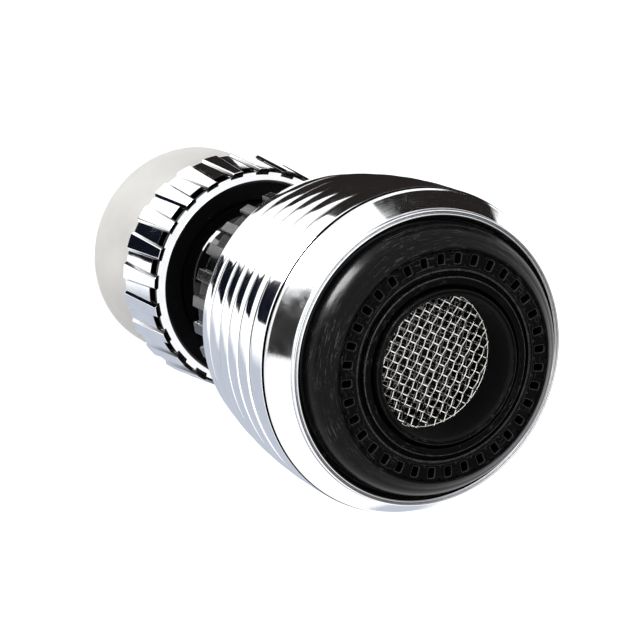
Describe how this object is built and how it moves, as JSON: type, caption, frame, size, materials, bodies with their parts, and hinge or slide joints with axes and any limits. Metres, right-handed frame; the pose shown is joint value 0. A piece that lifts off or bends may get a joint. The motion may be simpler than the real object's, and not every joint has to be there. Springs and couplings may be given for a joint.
{
  "type": "tap aerator",
  "caption": "Chrome swivel tap aerator: a banded bell on a ball joint, with a ribbed crown collar, a threaded inlet and a shower face round a woven outlet screen.",
  "frame": {"origin": "centre of the inlet end, on the surface that the part stands on", "axes": "+Z from the inlet end to the spray face along the common axis; +X is the axis that the ball joint tilts about"},
  "size_m": [0.0418, 0.0418, 0.0766],
  "materials": {
    "ivory_plastic": "slightly translucent ivory plastic, satin",
    "chrome_plate": "bright mirror chrome plate over turned metal",
    "gloss_black": "glossy black moulded plastic with fine handling scratches",
    "matte_black": "matte black moulded plastic",
    "charcoal_satin": "charcoal satin metal, teeth worn bright at their edges",
    "rubber_black": "black nitrile rubber",
    "white_acetal": "white acetal",
    "stainless": "woven or etched stainless steel"
  },
  "bodies": {
    "inlet": {"inlet_connector": "ivory_plastic", "inlet_washer": "rubber_black", "inlet_strainer": "stainless", "seat_o_ring": "rubber_black", "ball_retainer": "matte_black", "swivel_collar": "chrome_plate"},
    "swivel": {"ball_seat": "white_acetal"},
    "head": {"swivel_ball": "gloss_black", "knurled_ring": "charcoal_satin", "neck_o_ring": "rubber_black", "bell_housing": "chrome_plate", "diverter_plate": "white_acetal", "diverter_seal": "rubber_black"},
    "face": {"selector_disc": "white_acetal", "mode_ring": "chrome_plate", "housing_o_ring": "rubber_black", "spray_plate": "gloss_black", "plate_o_ring": "rubber_black", "cup_o_ring": "rubber_black", "aerator_cup": "gloss_black", "outlet_screen": "stainless", "screen_ring": "matte_black", "inner_screen": "stainless", "mixer_cone": "matte_black", "flow_disc": "matte_black"}
  },
  "joints": [
    {"name": "swivel_spin", "type": "hinge", "parent": "inlet", "child": "swivel", "pos_m": [0, 0, 0.0184], "axis": [0, 0, 1], "continuous": true},
    {"name": "head_tilt", "type": "hinge", "parent": "swivel", "child": "head", "pos_m": [0, 0, 0.0184], "axis": [1, 0, 0], "range_deg": [-20, 20]},
    {"name": "mode_turn", "type": "hinge", "parent": "head", "child": "face", "pos_m": [0, 0, 0.067], "axis": [0, 0, 1], "range_deg": [0, 60]}
  ]
}
